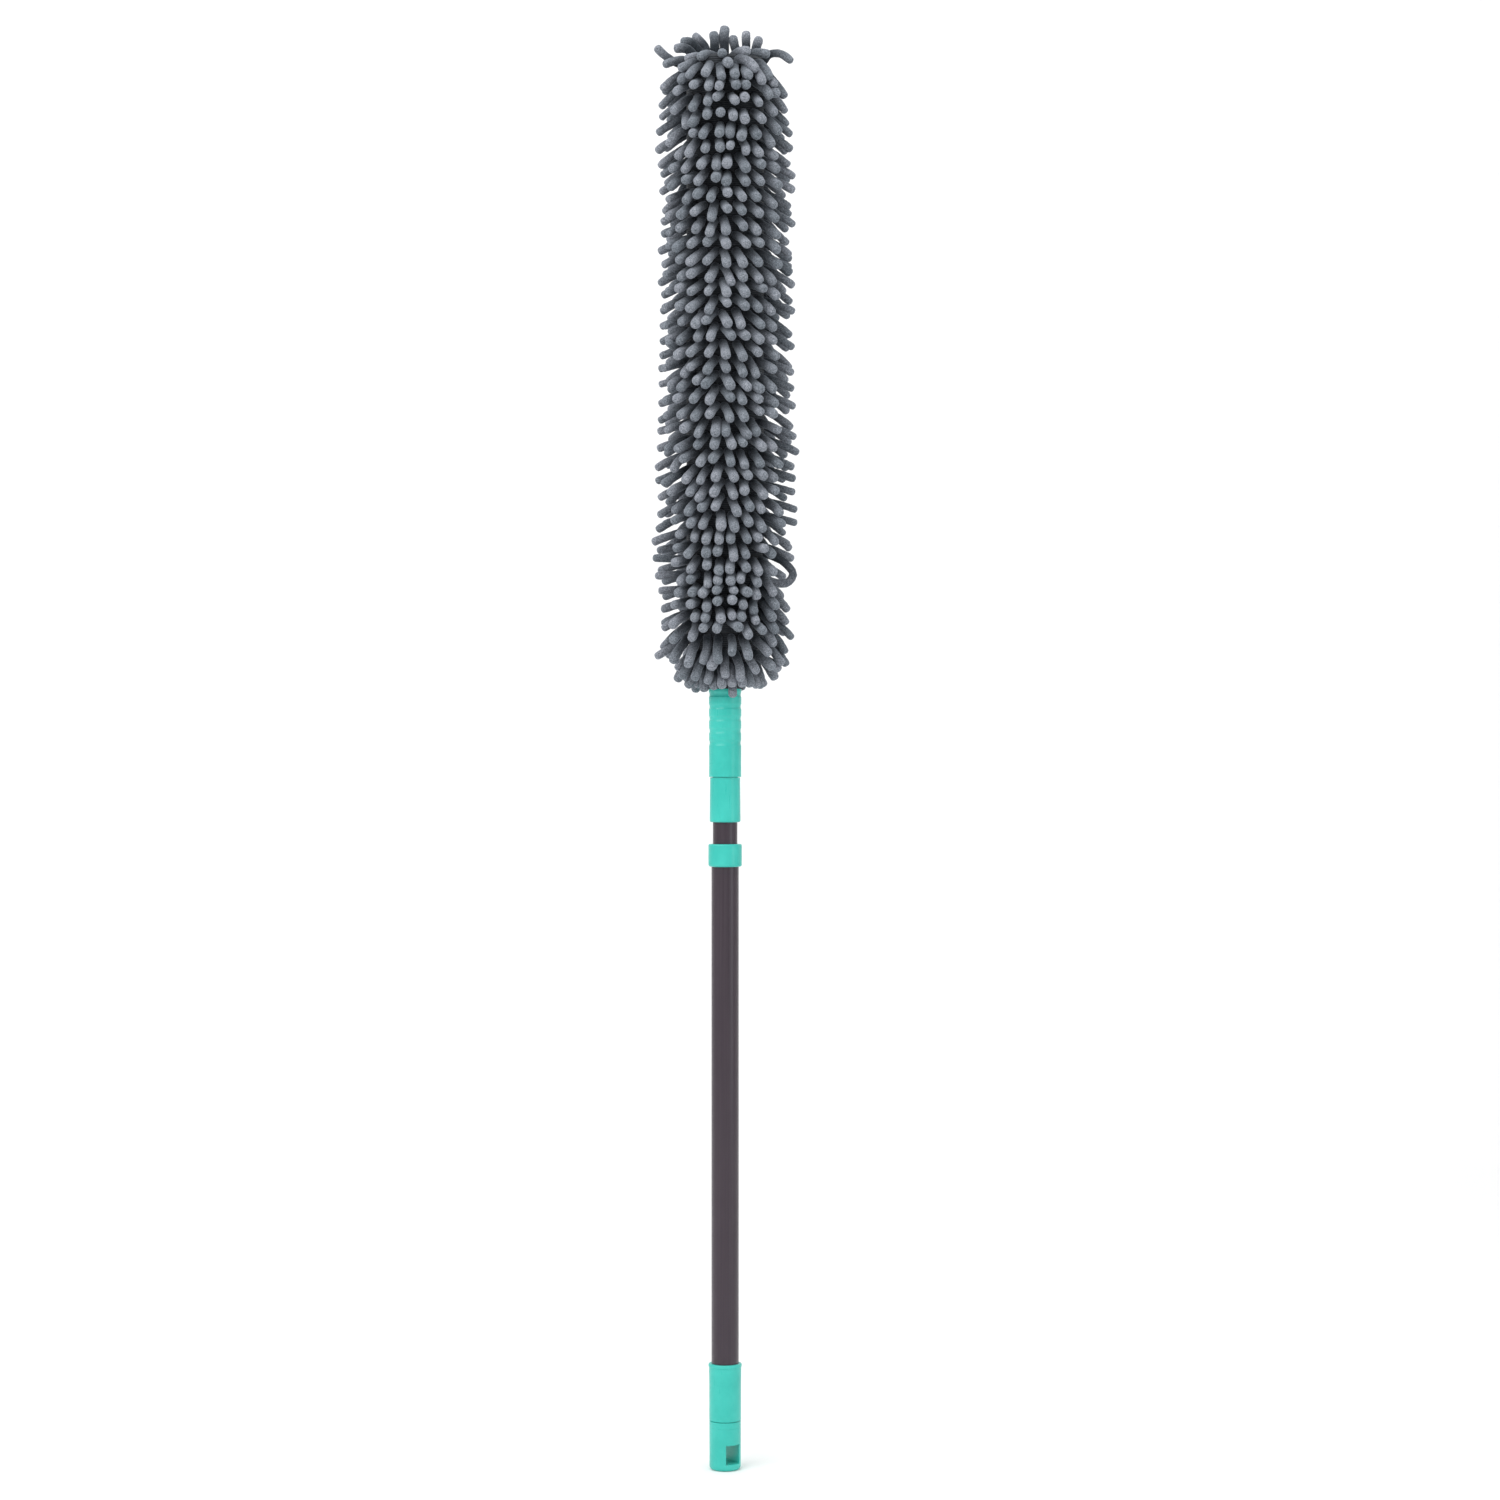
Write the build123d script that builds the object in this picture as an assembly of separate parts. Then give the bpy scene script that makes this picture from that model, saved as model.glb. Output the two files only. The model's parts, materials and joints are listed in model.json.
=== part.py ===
from build123d import *
import os

# Extending feather duster: a two-section telescopic pole, a ribbed hand grip that plugs onto
# it, and a long bendable head under a tufted chenille cover.
# Millimetres. +Z runs up the pole towards the head, and the origin is on the pole's axis at
# the bottom of the hanging cap. +X is the wide way of the head and +Y its thin way.
# Each piece is written to its own STEP file, and each length of the bendable head is a body
# that turns about X on the one below it.

os.makedirs("parts", exist_ok=True)

# ---- driving dimensions -------------------------------------------------------------------
FIT = 0.05          # radial gap of a pressed or glued fit
RUNNING = 0.1       # radial gap of a sliding or turning fit
SEAM = 0.4          # open line between two mouldings

POLE_R = 11.0       # outer pole section
INNER_R = 9.9       # inner pole section
TUBE_WALL = 0.5
SLOT_ANGLE = 35.0   # the hanging slot points this far round from the front, towards +X

HANGER_TOP = 39.1   # the hanging cap's shoulder
SLEEVE_TOP = 85.1   # the end sleeve's upper lip
COLLAR_LOW, COLLAR_TOP = 484.2, 502.5
ADAPTER_LOW, ADAPTER_TOP = 520.0, 556.0
GRIP_TOP = 634.0
COVER_LOW = 640.0   # the tufted cover's lower panel

LENGTHS = 8         # lengths that the bendable head is cut into
ROWS = 5            # rows of tufts on each length
ROW_PITCH = 12.3
LENGTH = ROWS * ROW_PITCH
COVER_TOP = COVER_LOW + LENGTHS * LENGTH

BACKING = (31.0, 21.0)   # half width and half depth of the cover's knitted backing
BACKING_WALL = 1.6
TUFTS = (52.0, 42.0)     # half width and half depth out to the tips of the tufts
TUFT_ROW = 3.0           # thickness of one row of tufts
FOAM = (28.5, 17.0)      # half width and half depth of the foam blocks
WIRE_R = 1.6
WIRE_X = 7.0             # each leg of the wire hairpin is this far from the axis

BACKING_GAP = 2.6   # how far each of these stops short of a bend line
FOAM_GAP = 2.2
WIRE_GAP = 0.35


# ---- helpers ------------------------------------------------------------------------------
def tube(outer, inner, low, high, x=0.0):
    """A round tube along Z, or a rod where inner is 0."""
    body = Pos(x, 0, (low + high) / 2) * Cylinder(outer, high - low)
    if inner:
        body -= Pos(x, 0, (low + high) / 2) * Cylinder(inner, high - low)
    return body


def turned(*points):
    """A solid of revolution about Z from an outline of (radius, z) points."""
    outline = Polyline(*[(r, 0, z) for r, z in points], close=True)
    return revolve(make_face(outline), Axis.Z, 360)


def oval(half, low, high):
    """An upright prism of elliptical section."""
    return Pos(0, 0, low) * extrude(Ellipse(*half), high - low)


def gathered(low_half, low, high_half, high):
    """An upright oval solid that widens from its lower section to its upper one."""
    sections = [Pos(0, 0, low) * Ellipse(*low_half), Pos(0, 0, high) * Ellipse(*high_half)]
    return loft(sections, ruled=True)


def inset(half, by):
    return (half[0] - by, half[1] - by)


def rounded(body, radius, z, at_radius):
    """Rounds the circular edge of that height and radius."""
    def fits(edge):
        middle = edge.arc_center
        return abs(middle.Z - z) < 1e-3 and abs(edge.radius - at_radius) < 1e-3
    edges = [e for e in body.edges().filter_by(GeomType.CIRCLE) if fits(e)]
    return fillet(edges, radius)


# ---- outer pole section -------------------------------------------------------------------
SEAT = 46.2                    # the outer tube stands on the end sleeve's ledge here
OUTER_TUBE_TOP = COLLAR_TOP - 3.0
PLUG_TOP = 57.3                # the inner section rests here when the pole is closed
NECK_R, BEAD_R = 10.3, 10.6    # the hanging cap's snap neck
BEAD_LOW, BEAD_HIGH = 41.5, 42.5
SLEEVE_R = 12.8


def make_outer_tube():
    return tube(POLE_R, POLE_R - TUBE_WALL, SEAT, OUTER_TUBE_TOP)


def make_collar():
    """A cap over the tube's mouth: a skirt outside it, and a guide bush inside it."""
    outer, guide = 13.5, INNER_R + RUNNING
    socket, bush = POLE_R + FIT, POLE_R - TUBE_WALL - FIT
    top = OUTER_TUBE_TOP + FIT
    body = turned(
        (socket, COLLAR_LOW), (outer, COLLAR_LOW), (outer, COLLAR_TOP), (guide, COLLAR_TOP),
        (guide, COLLAR_LOW + 2), (bush, COLLAR_LOW + 2), (bush, top), (socket, top),
    )
    body = rounded(body, 1.4, COLLAR_TOP, outer)
    return rounded(body, 1.8, COLLAR_LOW, outer)


def make_end_sleeve():
    """Holds the outer tube from above and the turning hanging cap from below."""
    low, lip_r, lip_low = HANGER_TOP + SEAM, 13.4, SLEEVE_TOP - 2.4
    neck, groove, socket = NECK_R + RUNNING, BEAD_R + RUNNING + FIT, POLE_R + FIT
    body = turned(
        (neck, low), (SLEEVE_R - 0.3, low), (SLEEVE_R, low + 0.3), (SLEEVE_R, 68),
        (SLEEVE_R + 0.2, lip_low - 0.4), (lip_r, lip_low), (lip_r, SLEEVE_TOP),
        (socket, SLEEVE_TOP), (socket, SEAT), (neck, SEAT), (neck, BEAD_HIGH + 0.3),
        (groove, BEAD_HIGH + 0.3), (groove, BEAD_LOW - 0.3), (neck, BEAD_LOW - 0.3),
    )
    return rounded(body, 1.1, SLEEVE_TOP, lip_r)


def make_end_plug():
    """A cup pressed into the outer tube, which the closed inner section stands on."""
    outer = POLE_R - TUBE_WALL - FIT
    wall, floor = 1.6, 2.5
    return turned(
        (outer - wall, SEAT + 0.2), (outer, SEAT + 0.2), (outer, PLUG_TOP),
        (2.5, PLUG_TOP), (2.5, PLUG_TOP - floor), (outer - wall, PLUG_TOP - floor),
    )


def make_hanging_cap():
    """The turning end cap, with a slot right through it for a hook."""
    radius, foot_r, foot_round = 12.7, 12.6, 3.0
    slot_width, slot_low, slot_high = 12.6, 5.3, 20.7
    cavity_r, cavity_low = 9.0, 24.0
    ring_low, ring_high, ring_depth = 34.0, 34.5, 0.15
    neck_top = BEAD_HIGH + 1.2
    body = turned(
        (0, 0), (foot_r, 0), (radius, ring_low), (radius - ring_depth, ring_low + 0.15),
        (radius - ring_depth, ring_high - 0.15), (radius, ring_high),
        (radius, HANGER_TOP - 0.4), (radius - 0.4, HANGER_TOP), (NECK_R, HANGER_TOP),
        (NECK_R, BEAD_LOW), (BEAD_R, BEAD_LOW + 0.3), (BEAD_R, BEAD_HIGH - 0.3),
        (NECK_R, BEAD_HIGH), (NECK_R, neck_top), (cavity_r, neck_top),
        (cavity_r, cavity_low), (0, cavity_low),
    )
    body = rounded(body, foot_round, 0, foot_r)
    slot = Box(slot_width, 4 * radius, slot_high - slot_low)
    body -= Rot(0, 0, SLOT_ANGLE) * Pos(0, 0, (slot_low + slot_high) / 2) * slot

    def at_mouth(edge):
        box, middle = edge.bounding_box(), edge.position_at(0.5)
        inside = box.min.Z > slot_low - 0.01 and box.max.Z < slot_high + 0.01
        return inside and (middle.X ** 2 + middle.Y ** 2) ** 0.5 > radius - 0.5
    return chamfer(body.edges().filter_by(at_mouth), 0.5)


# ---- twist lock, at the lower end of the inner section ------------------------------------
LOCK_OFFSET = 0.8              # the journal stands this far off the pole's axis
JOURNAL_R, JOURNAL_LOW, JOURNAL_HIGH = 7.2, 61.5, 77.5
FLANGE_R = 10.15
INNER_TUBE_LOW, INNER_TUBE_TOP = 80.0, 548.0
LOCK_SCREW_R = 1.5


def make_lock_ring():
    """A split ring, bored off centre, that jams in the outer tube when the pole is twisted."""
    low, high = JOURNAL_LOW + 0.3, JOURNAL_HIGH - 0.3
    body = tube(POLE_R - TUBE_WALL - 0.25, 0, low, high)
    body -= tube(JOURNAL_R + 0.4, 0, low, high, LOCK_OFFSET)
    split = 3
    return body - Pos(POLE_R, 0, (low + high) / 2) * Box(POLE_R, split, high - low)


def make_lock_plug():
    """Pressed into the inner tube, with a flange, and the off-centre journal below it."""
    shank_r, shank_top, hollow_r = INNER_R - TUBE_WALL - FIT, 104.0, 6.5
    body = tube(JOURNAL_R, 0, JOURNAL_LOW, JOURNAL_HIGH, LOCK_OFFSET)
    body += tube(FLANGE_R, 0, JOURNAL_HIGH, INNER_TUBE_LOW)
    body += tube(shank_r, 0, INNER_TUBE_LOW, shank_top)
    body -= tube(hollow_r, 0, INNER_TUBE_LOW + 4, shank_top)
    pilot_top = JOURNAL_LOW + 13
    return body - tube(LOCK_SCREW_R + FIT, 0, JOURNAL_LOW, pilot_top, LOCK_OFFSET)


HEAD_R, HEAD_DEEP = 3.0, 2.4   # the retaining screw's head, sunk in the washer
WASHER_LOW = PLUG_TOP + 0.2


def make_lock_washer():
    """Keeps the split ring on its journal, with a sinking for the screw's head."""
    body = tube(FLANGE_R, 0, WASHER_LOW, JOURNAL_LOW)
    body -= tube(LOCK_SCREW_R + RUNNING, 0, WASHER_LOW, JOURNAL_LOW, LOCK_OFFSET)
    return body - tube(HEAD_R + RUNNING, 0, WASHER_LOW, WASHER_LOW + HEAD_DEEP, LOCK_OFFSET)


def make_lock_screw():
    head_top = WASHER_LOW + HEAD_DEEP
    body = tube(LOCK_SCREW_R, 0, head_top, JOURNAL_LOW + 12, LOCK_OFFSET)
    body += tube(HEAD_R, 0, head_top - 2, head_top, LOCK_OFFSET)
    slot = Pos(LOCK_OFFSET, 0, head_top - 2) * Box(4 * HEAD_R, 0.8, 1.6)
    return body - slot


# ---- inner pole section -------------------------------------------------------------------
SPIGOT_LOW_R, SPIGOT_TOP_R, SPIGOT_TOP = 10.3, 9.7, 594.0


def make_inner_tube():
    return tube(INNER_R, INNER_R - TUBE_WALL, INNER_TUBE_LOW, INNER_TUBE_TOP)


def make_pole_adapter():
    """A sleeve on the inner tube, with a hollow tapered spigot that the grip plugs onto."""
    low_r, top_r, hollow_r = 12.45, 12.1, 8.2
    socket, socket_top = INNER_R + FIT, INNER_TUBE_TOP + FIT
    body = turned(
        (socket, ADAPTER_LOW), (low_r, ADAPTER_LOW), (top_r, ADAPTER_TOP),
        (SPIGOT_LOW_R, ADAPTER_TOP), (SPIGOT_TOP_R, SPIGOT_TOP - 1),
        (SPIGOT_TOP_R - 0.6, SPIGOT_TOP), (hollow_r, SPIGOT_TOP),
        (hollow_r, socket_top), (socket, socket_top),
    )
    return rounded(body, 1.3, ADAPTER_LOW, low_r)


# ---- hand grip and the foot of the head ---------------------------------------------------
NECK_TOP, GRIP_NECK_R = 652.0, 12.0
WEB_LOW, WEB_TOP = 597.0, 601.0
HOLDER_R, HOLDER_TOP = 10.0, 655.0
PIN_R, PIN_Z = 1.5, 643.0
GROOVES = [581.6 + 9.7 * i for i in range(5)]   # lower edges of the grip's shallow grooves
SCOOP = [(0, 0), (0.8, 0.35), (1.9, 0.55), (3.2, 0.4), (4.6, 0)]   # height in a groove, and depth


def grip_radius(z):
    """The grip's outside, which widens a little towards the head."""
    return 12.85 + 0.3 * (z - ADAPTER_TOP) / (GRIP_TOP - ADAPTER_TOP)


def make_grip():
    low, bead_top = ADAPTER_TOP + SEAM, 564.5
    outline = [(grip_radius(low) + 0.1, low), (grip_radius(low) + 0.1, bead_top),
               (grip_radius(bead_top), bead_top + 1)]
    for edge in GROOVES:
        outline += [(grip_radius(edge + up) - deep, edge + up) for up, deep in SCOOP]
    spigot_gap = RUNNING - 0.02
    outline += [
        (grip_radius(GRIP_TOP), GRIP_TOP), (GRIP_NECK_R, GRIP_TOP), (GRIP_NECK_R, NECK_TOP),
        (HOLDER_R + FIT, NECK_TOP), (HOLDER_R + FIT, WEB_TOP), (4, WEB_TOP), (4, WEB_LOW),
        (SPIGOT_TOP_R + spigot_gap, WEB_LOW), (SPIGOT_TOP_R + spigot_gap, SPIGOT_TOP - 1),
        (SPIGOT_LOW_R + spigot_gap, low),
    ]
    pin_hole = Pos(0, 0, PIN_Z) * Rot(90, 0, 0) * Cylinder(PIN_R + FIT, 4 * GRIP_NECK_R)
    return turned(*outline) - pin_hole


def make_core_holder():
    """A plug in the grip's neck that holds both ends of the wire hairpin."""
    body = tube(HOLDER_R, 0, WEB_TOP + 0.2, HOLDER_TOP)
    for side in (-1, 1):
        body -= tube(WIRE_R + FIT, 0, WIRE_LOW - 0.2, HOLDER_TOP, side * WIRE_X)
    body -= tube(4, 0, WEB_TOP + 0.2, WIRE_LOW - 4)
    return body - Pos(0, 0, PIN_Z) * Rot(90, 0, 0) * Cylinder(PIN_R + FIT, 4 * HOLDER_R)


def make_holder_pin():
    return Pos(0, 0, PIN_Z) * Rot(90, 0, 0) * Cylinder(PIN_R, 2 * GRIP_NECK_R - 1)


CUFF_R, CUFF_LOW, CUFF_WALL = grip_radius(GRIP_TOP) + 0.15, 627.0, 1.4
SKIRT_HOLE_R = CUFF_R + CUFF_WALL + FIT


def make_cover_cuff():
    """The elastic band that grips the top of the hand grip."""
    return tube(CUFF_R + CUFF_WALL, CUFF_R, CUFF_LOW, COVER_LOW - FIT)


# ---- the bendable head --------------------------------------------------------------------
WIRE_LOW = 612.0
TIP_ARC_Z = COVER_TOP - 22.0   # where the hairpin's legs turn into its end bend
TIP_LOW, TIP_TOP = TIP_ARC_Z - 10, TIP_ARC_Z + 14
PANEL = 2.0                    # thickness of the cover's end panels
GATHER, GATHER_TOP = (18.0, 17.5), 667.0   # the backing narrows to this at the cuff
LOWEST_TUFTS = (44.0, 36.0)
SKIRT, SKIRT_LOW = (27.0, 25.0), 626.0
CROWN, CROWN_TOP = (38.0, 30.0), COVER_TOP + 25.0


def span(i, gap):
    """The lower and upper end of length i, stopping short of the bend lines by gap."""
    return COVER_LOW + i * LENGTH + gap, COVER_LOW + (i + 1) * LENGTH - gap


def make_wire_leg(i, side):
    """One leg of the wire hairpin along one length of the head."""
    low, high = span(i, WIRE_GAP)
    low = WIRE_LOW if i == 0 else low
    return tube(WIRE_R, 0, low, high, side * WIRE_X)


def make_end_bend(radius):
    """The U at the tip of the hairpin, as a rod of that radius."""
    left, top, right = (-WIRE_X, 0, TIP_ARC_Z), (0, 0, TIP_ARC_Z + WIRE_X), (WIRE_X, 0, TIP_ARC_Z)
    bend = ThreePointArc(left, top, right)
    return sweep(Plane(left, z_dir=(0, 0, 1)) * Circle(radius), path=bend)


def make_wire_tip():
    """The hairpin's legs in the last length, and the end bend that joins them."""
    low, _ = span(LENGTHS - 1, WIRE_GAP)
    left, right = (tube(WIRE_R, 0, low, TIP_ARC_Z, side * WIRE_X) for side in (-1, 1))
    return left + make_end_bend(WIRE_R) + right


def tip_block(clearance, low, high):
    """An upright flat bar with round edges, the shape of the tip cap."""
    half_width, half_depth = WIRE_X + 5 + clearance, 4.5 + clearance
    outline = RectangleRounded(2 * half_width, 2 * half_depth, half_depth - 0.2)
    return Pos(0, 0, low) * extrude(outline, high - low)


def make_tip_cap():
    """A moulded cap that keeps the wire's bend from piercing the cover."""
    body = tip_block(0, TIP_LOW, TIP_TOP)
    body = fillet(body.edges().group_by(Axis.Z)[-1], 2.5)
    for side in (-1, 1):
        body -= tube(WIRE_R + FIT, 0, TIP_LOW, TIP_ARC_Z, side * WIRE_X)
    return body - make_end_bend(WIRE_R + FIT)


def make_foam(i):
    """One foam block, threaded on the legs of the hairpin. The last has a pocket for the cap."""
    low, high = span(i, FOAM_GAP)
    low = GATHER_TOP + 1 if i == 0 else low
    high = COVER_TOP - PANEL - 1 if i == LENGTHS - 1 else high
    body = oval(FOAM, low, high)
    for side in (-1, 1):
        body -= tube(WIRE_R + RUNNING, 0, low, high, side * WIRE_X)
    if i == LENGTHS - 1:
        body -= tip_block(0.3, TIP_LOW - 0.5, high)
    return body


def make_cover(i):
    """One length of the cover: its knitted backing, and its rows of tufts as plain discs."""
    low, high = span(i, BACKING_GAP)
    low = GATHER_TOP if i == 0 else low
    high = COVER_TOP if i == LENGTHS - 1 else high
    hollow = inset(BACKING, BACKING_WALL)
    body = oval(BACKING, low, high)
    for row in range(ROWS):
        middle = COVER_LOW + i * LENGTH + (row + 0.5) * ROW_PITCH
        size = LOWEST_TUFTS if i == 0 and row == 0 else TUFTS
        body += oval(size, middle - TUFT_ROW / 2, middle + TUFT_ROW / 2)
    if i == 0:
        body += gathered(GATHER, COVER_LOW, BACKING, GATHER_TOP)
        body += oval(SKIRT, SKIRT_LOW, COVER_LOW)
        body -= tube(SKIRT_HOLE_R, 0, SKIRT_LOW, COVER_LOW + PANEL)
        body -= gathered(inset(GATHER, BACKING_WALL), COVER_LOW + PANEL, hollow, GATHER_TOP)
        return body - oval(hollow, GATHER_TOP, high)
    if i == LENGTHS - 1:
        body += oval(CROWN, high, CROWN_TOP)
        return body - oval(hollow, low, high - PANEL)
    return body - oval(hollow, low, high)


# ---- every piece, by name -----------------------------------------------------------------
pieces = {}
pieces["outer_tube"] = make_outer_tube()
pieces["collar"] = make_collar()
pieces["end_sleeve"] = make_end_sleeve()
pieces["end_plug"] = make_end_plug()
pieces["hanging_cap"] = make_hanging_cap()
pieces["lock_ring"] = make_lock_ring()
pieces["lock_plug"] = make_lock_plug()
pieces["lock_washer"] = make_lock_washer()
pieces["lock_screw"] = make_lock_screw()
pieces["inner_tube"] = make_inner_tube()
pieces["pole_adapter"] = make_pole_adapter()
pieces["grip"] = make_grip()
pieces["core_holder"] = make_core_holder()
pieces["holder_pin"] = make_holder_pin()
pieces["cover_cuff"] = make_cover_cuff()
pieces["wire_tip"] = make_wire_tip()
pieces["tip_cap"] = make_tip_cap()
for i in range(LENGTHS):
    pieces[f"core_foam_{i + 1}"] = make_foam(i)
    pieces[f"cover_{i + 1}"] = make_cover(i)
for i in range(LENGTHS - 1):
    pieces[f"wire_left_{i + 1}"] = make_wire_leg(i, -1)
    pieces[f"wire_right_{i + 1}"] = make_wire_leg(i, 1)

for name, piece in pieces.items():
    export_step(piece, f"parts/{name}.step")
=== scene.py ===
import json
import math
import bpy
import numpy as np
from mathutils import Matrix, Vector, noise


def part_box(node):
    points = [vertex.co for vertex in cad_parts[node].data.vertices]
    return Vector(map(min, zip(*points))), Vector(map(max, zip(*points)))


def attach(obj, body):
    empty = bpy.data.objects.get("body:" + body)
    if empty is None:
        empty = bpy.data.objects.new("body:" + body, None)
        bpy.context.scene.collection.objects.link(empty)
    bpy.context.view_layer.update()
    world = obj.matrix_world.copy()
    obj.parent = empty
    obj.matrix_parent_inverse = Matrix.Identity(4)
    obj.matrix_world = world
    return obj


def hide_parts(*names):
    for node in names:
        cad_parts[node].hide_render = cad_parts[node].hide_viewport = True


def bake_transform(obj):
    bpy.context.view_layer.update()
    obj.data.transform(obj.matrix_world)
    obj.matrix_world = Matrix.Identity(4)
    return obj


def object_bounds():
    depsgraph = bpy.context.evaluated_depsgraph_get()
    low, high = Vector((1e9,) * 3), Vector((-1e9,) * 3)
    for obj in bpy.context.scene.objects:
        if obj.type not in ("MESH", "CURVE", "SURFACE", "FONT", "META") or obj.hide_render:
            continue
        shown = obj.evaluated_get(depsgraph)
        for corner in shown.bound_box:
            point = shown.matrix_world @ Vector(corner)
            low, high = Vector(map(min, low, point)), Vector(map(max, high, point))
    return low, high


# Looks of an extending chenille duster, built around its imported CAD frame.
# Metres, in the frame's own axes: +Z up the pole, +X the wide way of the head, -Y the front.
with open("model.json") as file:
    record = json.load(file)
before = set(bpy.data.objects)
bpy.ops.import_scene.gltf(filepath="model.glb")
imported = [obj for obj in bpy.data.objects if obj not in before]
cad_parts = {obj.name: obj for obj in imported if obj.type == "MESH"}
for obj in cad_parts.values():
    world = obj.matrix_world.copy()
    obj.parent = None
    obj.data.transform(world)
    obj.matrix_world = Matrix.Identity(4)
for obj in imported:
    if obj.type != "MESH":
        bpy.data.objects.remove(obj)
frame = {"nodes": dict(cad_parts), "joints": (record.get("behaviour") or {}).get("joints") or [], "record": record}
cad_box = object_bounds()

MM = 0.001
random = np.random.default_rng(11)            # seeded, so that every run lays the same tufts

# ---- the head's main sizes, from the frame ------------------------------------------------
bends = [j["pos_m"][2] for j in frame["joints"] if j["name"].startswith("head_bend")]
LENGTH = bends[1] - bends[0]                  # of the head between two bend lines
HEAD_LOW, HEAD_TOP = bends[0] - LENGTH, bends[-1] + LENGTH
LENGTHS = len(bends) + 1
BODIES = ["head_base"] + [f"head_{k}" for k in range(2, LENGTHS + 1)]
foam_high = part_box("core_foam_4")[1]
BACKING = np.array([foam_high.x + 2.5 * MM, foam_high.y + 4 * MM])   # half width, half depth
GATHERED = np.array([18, 17.5]) * MM          # the same where the foot is gathered in
GATHER_HEIGHT = 27 * MM
CUFF_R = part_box("cover_cuff")[1].x

COLUMNS, ROWS = 18, 41                        # tufts round the head, and rows of them
TUFT_R = 3.65 * MM                            # before its nap
TUFT_LENGTH = 25 * MM                         # outside the backing
TUFT_POINTS = 7                               # points on a tuft's centreline
ROOT_DEPTH = 2 * MM                           # how deep a tuft's root goes into the backing
LOOP_Z = HEAD_LOW + 85 * MM                   # the one tuft caught in a loop, on the right side
LOOP_ROOM = 9 * MM                            # from it to the next tuft of its column


# ---- materials ----------------------------------------------------------------------------
# a Mix node's sockets, when it mixes colours: its factor, its two colours and its result
MIX_FACTOR, MIX_A, MIX_B, MIX_RESULT = 0, 6, 7, 2


class Material:
    """A node material with one Principled shader, and short ways to add nodes to it."""

    def __init__(self, name, **inputs):
        self.data = bpy.data.materials.new(name)
        self.data.use_nodes = True
        self.tree = self.data.node_tree
        self.shader = self.tree.nodes["Principled BSDF"]
        self.set(self.shader, **inputs)

    def set(self, node, **inputs):
        """Sets a node's inputs, each to a constant or to another node's output socket."""
        for key, value in inputs.items():
            socket = node.inputs[key.replace("_", " ")]
            if isinstance(value, bpy.types.NodeSocket):
                self.tree.links.new(value, socket)
            else:
                socket.default_value = value

    def add(self, kind, settings=None, **inputs):
        """A new node, with its settings and inputs."""
        node = self.tree.nodes.new(kind)
        for key, value in (settings or {}).items():
            setattr(node, key, value)
        self.set(node, **inputs)
        return node

    def place(self, scale=(1, 1, 1)):
        """The point on the object, stretched."""
        point = self.add("ShaderNodeTexCoord").outputs["Object"]
        return self.add("ShaderNodeMapping", Vector=point, Scale=scale).outputs["Vector"]

    def noise(self, scale, detail=2, stretch=(1, 1, 1), roughness=0.5):
        """Noise from 0 to 1, with scale features to the metre."""
        node = self.add("ShaderNodeTexNoise", Vector=self.place(stretch), Scale=scale,
                        Detail=detail, Roughness=roughness)
        return node.outputs["Fac"]

    def rows(self, scale, **inputs):
        """Waves from 0 to 1 that run round the object."""
        node = self.add("ShaderNodeTexWave", {"bands_direction": "Z"}, Vector=self.place(),
                        Scale=scale, **inputs)
        return node.outputs["Fac"]

    def attribute(self, name):
        return self.add("ShaderNodeAttribute", {"attribute_name": name}).outputs["Fac"]

    def ramp(self, value, low, high, start=0.0, end=1.0):
        """A colour that runs from low, where value is start, to high, where it is end."""
        node = self.add("ShaderNodeValToRGB", Fac=value)
        for element, at, colour in zip(node.color_ramp.elements, (start, end), (low, high)):
            element.position = at
            element.color = (*colour, 1)
        return node.outputs["Color"]

    def range(self, value, low, high):
        """A number that runs from low to high over the middle of a noise's values."""
        node = self.add("ShaderNodeMapRange", Value=value, From_Min=0.3, From_Max=0.7,
                        To_Min=low, To_Max=high)
        return node.outputs["Result"]

    def multiply(self, a, b):
        """The product of two colours."""
        node = self.add("ShaderNodeMix", {"data_type": "RGBA", "blend_type": "MULTIPLY"})
        node.inputs[MIX_FACTOR].default_value = 1
        self.tree.links.new(a, node.inputs[MIX_A])
        self.tree.links.new(b, node.inputs[MIX_B])
        return node.outputs[MIX_RESULT]

    def bump(self, height, distance, strength, over=None):
        """A normal bumped by a height, over another bump if there is one."""
        inputs = {"Height": height, "Distance": distance, "Strength": strength}
        if over is not None:
            inputs["Normal"] = over
        return self.add("ShaderNodeBump", **inputs).outputs["Normal"]

    def finish(self, **inputs):
        self.set(self.shader, **inputs)
        return self.data


def make_turquoise():
    """Satin moulded plastic with a fine eroded grain and faint handling marks."""
    m = Material("turquoise_plastic", Specular_IOR_Level=0.5)
    cloud = m.noise(60, detail=3)
    colour = m.ramp(cloud, (0.026, 0.475, 0.405), (0.038, 0.525, 0.450), start=0.35, end=0.65)
    scuffs = m.noise(900, detail=4, stretch=(1, 1, 0.06))
    roughness = m.range(scuffs, 0.27, 0.38)
    grain = m.bump(m.noise(5000), distance=0.05 * MM, strength=0.35)
    marks = m.bump(scuffs, distance=0.03 * MM, strength=0.3, over=grain)
    return m.finish(Base_Color=colour, Roughness=roughness, Normal=marks)


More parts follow.
